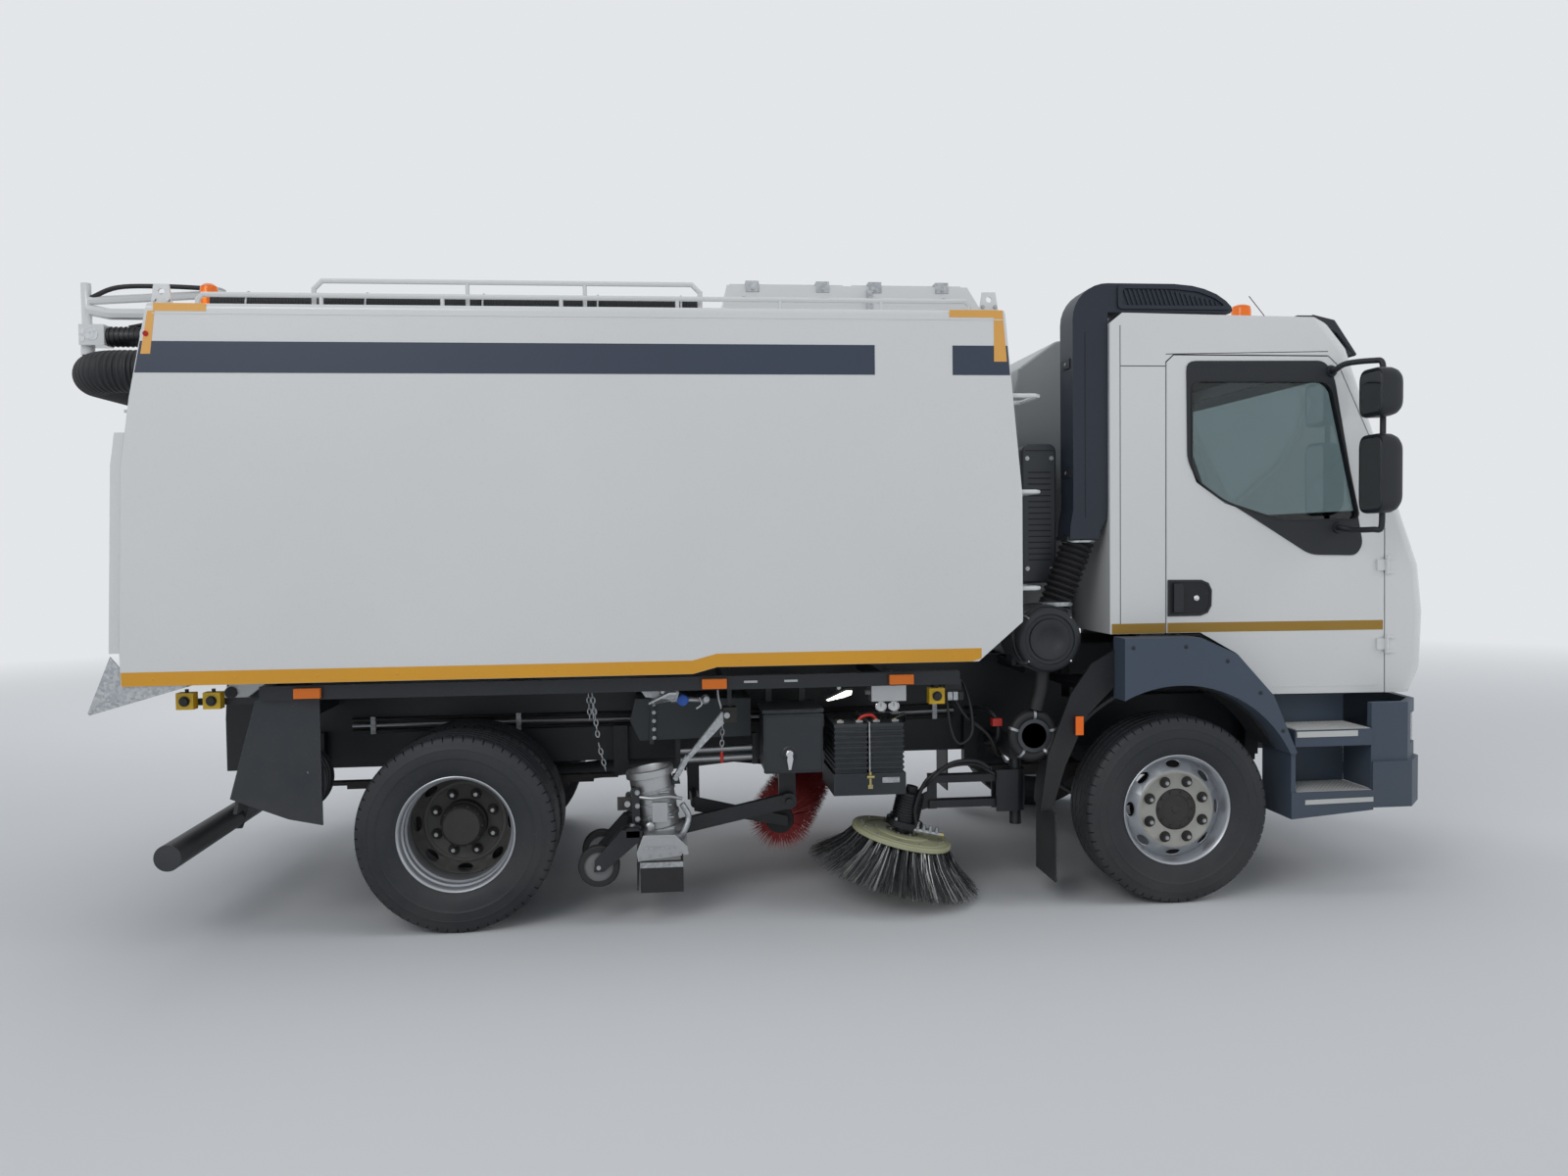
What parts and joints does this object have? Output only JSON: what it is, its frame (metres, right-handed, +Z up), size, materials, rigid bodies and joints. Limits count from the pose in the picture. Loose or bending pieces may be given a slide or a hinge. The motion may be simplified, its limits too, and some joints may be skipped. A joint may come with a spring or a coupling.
{
  "type": "road sweeper truck",
  "caption": "Two-axle truck with a tipping sweepings hopper, a side brush, a suction nozzle and a wide channel brush under the frame, a tilting cab and a swivelling hose boom.",
  "frame": {"origin": "on the ground under the middle of the whole machine", "axes": "+X forward, +Y to the left, +Z up"},
  "size_m": [6.368, 2.74, 2.929],
  "materials": {
    "chassis_black": "semi-matt black chassis paint",
    "engine_grey": "grey engine paint",
    "tank_alloy": "plain rolled aluminium",
    "box_grey": "dark grey cabinet paint",
    "cab_white": "gloss white cab paint",
    "lamp_glass": "clear lamp cover",
    "step_blue_grey": "grained blue-grey moulded plastic",
    "liner_black": "black moulded liner",
    "guard_grey": "grey painted sheet and tube",
    "reel_red": "dark painted reel",
    "trim_black": "grained black plastic",
    "cowl_grey": "light grey cover paint",
    "cooler_dark": "dark grey housing paint",
    "lamp_amber": "amber lamp lens",
    "axle_iron": "dark cast iron",
    "rim_silver": "silver wheel paint",
    "tyre_rubber": "tyre rubber",
    "window_glass": "lightly tinted glass",
    "seat_cloth": "dark woven seat cloth",
    "stack_navy": "matt blue-black moulded plastic",
    "hopper_white": "white hopper paint",
    "rail_white": "white painted tube",
    "hose_rubber": "black suction hose rubber",
    "zinc": "galvanised steel",
    "rod_chrome": "hard chrome",
    "bristle_grey": "dark brush bristles",
    "bristle_red": "red brush bristles",
    "nozzle_alloy": "worn aluminium",
    "castor_rubber": "dark grey castor rubber"
  },
  "bodies": {
    "chassis": {"chassis_frame": "chassis_black", "front_axle": "chassis_black", "rear_axle": "chassis_black", "powertrain": "engine_grey", "fuel_tank": "tank_alloy", "side_boxes": "box_grey", "front_bumper": "step_blue_grey", "headlamps": "lamp_glass", "steps_and_flares": "step_blue_grey", "arch_liners": "liner_black", "rear_guard": "guard_grey", "hose_reel": "reel_red", "air_filter": "trim_black", "engine_cowl": "cowl_grey", "cooler_box": "cooler_dark", "lamps": "lamp_amber"},
    "knuckle_right": {"knuckle_right": "axle_iron"},
    "knuckle_left": {"knuckle_left": "axle_iron"},
    "tie_rod": {"tie_rod": "axle_iron"},
    "front_wheel_right": {"front_wheel_right": "rim_silver", "front_tyre_right": "tyre_rubber"},
    "front_wheel_left": {"front_wheel_left": "rim_silver", "front_tyre_left": "tyre_rubber"},
    "rear_wheels_right": {"rear_wheels_right": "rim_silver", "rear_tyres_right": "tyre_rubber"},
    "rear_wheels_left": {"rear_wheels_left": "rim_silver", "rear_tyres_left": "tyre_rubber"},
    "cab": {"cab_shell": "cab_white", "windscreen": "window_glass", "seats": "seat_cloth", "dashboard": "trim_black", "grille": "cab_white", "sun_visor": "trim_black", "intake_stack": "stack_navy", "cab_beacon": "lamp_amber"},
    "door_right": {"door_right": "cab_white", "door_glass_right": "window_glass", "mirror_right": "trim_black"},
    "door_left": {"door_left": "cab_white", "door_glass_left": "window_glass", "mirror_left": "trim_black"},
    "hopper": {"hopper_shell": "hopper_white", "hopper_rails": "rail_white", "wander_hose": "hose_rubber", "spill_chute": "zinc", "boom_post": "rail_white"},
    "tailgate": {"tailgate": "hopper_white"},
    "boom": {"boom": "rail_white"},
    "tip_barrel": {"tip_barrel": "chassis_black"},
    "tip_rod": {"tip_rod": "rod_chrome"},
    "brush_bracket": {"brush_bracket": "chassis_black"},
    "brush_upper_link": {"brush_upper_link": "chassis_black"},
    "brush_lower_link": {"brush_lower_link": "chassis_black"},
    "brush_head": {"brush_head": "chassis_black"},
    "side_brush": {"side_brush": "bristle_grey"},
    "suction_nozzle": {"suction_nozzle": "nozzle_alloy"},
    "castors": {"castors": "castor_rubber"},
    "channel_frame": {"channel_frame": "chassis_black"},
    "channel_brush": {"channel_brush": "bristle_red"}
  },
  "joints": [
    {"name": "steer_right", "type": "hinge", "parent": "chassis", "child": "knuckle_right", "pos_m": [1.825, -0.965, 0.437], "axis": [0, 0, 1], "range_deg": [-35, 35]},
    {"name": "steer_left", "type": "hinge", "parent": "chassis", "child": "knuckle_left", "pos_m": [1.825, 0.965, 0.437], "axis": [0, 0, 1], "range_deg": [-35, 35]},
    {"name": "tie_rod_pivot", "type": "hinge", "parent": "knuckle_left", "child": "tie_rod", "pos_m": [1.675, 0.965, 0.318], "axis": [0, 0, 1], "range_deg": [-35, 35]},
    {"name": "front_wheel_right_spin", "type": "hinge", "parent": "knuckle_right", "child": "front_wheel_right", "pos_m": [1.825, -1.053, 0.437], "axis": [0, 1, 0], "continuous": true},
    {"name": "front_wheel_left_spin", "type": "hinge", "parent": "knuckle_left", "child": "front_wheel_left", "pos_m": [1.825, 1.053, 0.437], "axis": [0, 1, 0], "continuous": true},
    {"name": "rear_wheels_right_spin", "type": "hinge", "parent": "chassis", "child": "rear_wheels_right", "pos_m": [-1.455, -0.9, 0.437], "axis": [0, 1, 0], "continuous": true},
    {"name": "rear_wheels_left_spin", "type": "hinge", "parent": "chassis", "child": "rear_wheels_left", "pos_m": [-1.455, 0.9, 0.437], "axis": [0, 1, 0], "continuous": true},
    {"name": "cab_tilt", "type": "hinge", "parent": "chassis", "child": "cab", "pos_m": [3.05, 0, 0.912], "axis": [0, 1, 0], "range_deg": [0, 50]},
    {"name": "door_right_hinge", "type": "hinge", "parent": "cab", "child": "door_right", "pos_m": [2.913, -1.07, 1.37], "axis": [0, 0, 1], "range_deg": [0, 65]},
    {"name": "door_left_hinge", "type": "hinge", "parent": "cab", "child": "door_left", "pos_m": [2.913, 1.07, 1.37], "axis": [0, 0, -1], "range_deg": [0, 65]},
    {"name": "hopper_tip", "type": "hinge", "parent": "chassis", "child": "hopper", "pos_m": [-2.605, 0, 1.01], "axis": [0, -1, 0], "range_deg": [0, 50]},
    {"name": "tailgate_hinge", "type": "hinge", "parent": "hopper", "child": "tailgate", "pos_m": [-2.805, 0, 2.228], "axis": [0, 1, 0], "range_deg": [0, 85]},
    {"name": "boom_swing", "type": "hinge", "parent": "hopper", "child": "boom", "pos_m": [-2.585, -0.6, 2.8], "axis": [0, 0, 1], "range_deg": [-60, 60]},
    {"name": "tip_barrel_pivot", "type": "hinge", "parent": "chassis", "child": "tip_barrel", "pos_m": [-1.755, 0, 0.7], "axis": [0, -1, 0], "range_deg": [0, 60.2]},
    {"name": "tip_rod_slide", "type": "slide", "parent": "tip_barrel", "child": "tip_rod", "axis": [0.9678, 0, 0.2516], "range_m": [0, 0.697]},
    {"name": "brush_swing", "type": "hinge", "parent": "chassis", "child": "brush_bracket", "pos_m": [1.145, -0.86, 0.5], "axis": [0, 0, 1], "range_deg": [0, 20]},
    {"name": "brush_lift", "type": "hinge", "parent": "brush_bracket", "child": "brush_upper_link", "pos_m": [1.065, -0.86, 0.56], "axis": [0, -1, 0], "range_deg": [-8, 3]},
    {"name": "brush_lower_link_pivot", "type": "hinge", "parent": "brush_bracket", "child": "brush_lower_link", "pos_m": [1.065, -0.86, 0.44], "axis": [0, -1, 0], "range_deg": [-8, 3]},
    {"name": "brush_head_pivot", "type": "hinge", "parent": "brush_upper_link", "child": "brush_head", "pos_m": [0.735, -0.86, 0.56], "axis": [0, -1, 0], "range_deg": [-3, 8]},
    {"name": "side_brush_spin", "type": "hinge", "parent": "brush_head", "child": "side_brush", "pos_m": [0.58, -0.88, 0.3], "axis": [0.2247, -0.0499, 0.9732], "continuous": true},
    {"name": "nozzle_lift", "type": "hinge", "parent": "chassis", "child": "suction_nozzle", "pos_m": [0.045, -0.825, 0.47], "axis": [0, -1, 0], "range_deg": [0, 8]},
    {"name": "castor_spin", "type": "hinge", "parent": "suction_nozzle", "child": "castors", "pos_m": [-0.838, -0.96, 0.267], "axis": [0, 1, 0], "continuous": true},
    {"name": "channel_lift", "type": "hinge", "parent": "chassis", "child": "channel_frame", "pos_m": [-0.395, 0, 0.44], "axis": [0, 1, 0], "range_deg": [0, 9]},
    {"name": "channel_brush_spin", "type": "hinge", "parent": "channel_frame", "child": "channel_brush", "pos_m": [0.18, 0.02, 0.34], "axis": [0.2358, 0.9718, 0], "continuous": true}
  ],
  "couplings": [
    {"joint": "steer_left", "follows": "steer_right", "ratio": 1},
    {"joint": "tie_rod_pivot", "follows": "steer_right", "ratio": -1},
    {"joint": "tip_barrel_pivot", "follows": "hopper_tip", "ratio": 1.1986},
    {"joint": "tip_rod_slide", "follows": "hopper_tip", "m_per_rad": 0.794},
    {"joint": "brush_lower_link_pivot", "follows": "brush_lift", "ratio": 1},
    {"joint": "brush_head_pivot", "follows": "brush_lift", "ratio": -1}
  ]
}
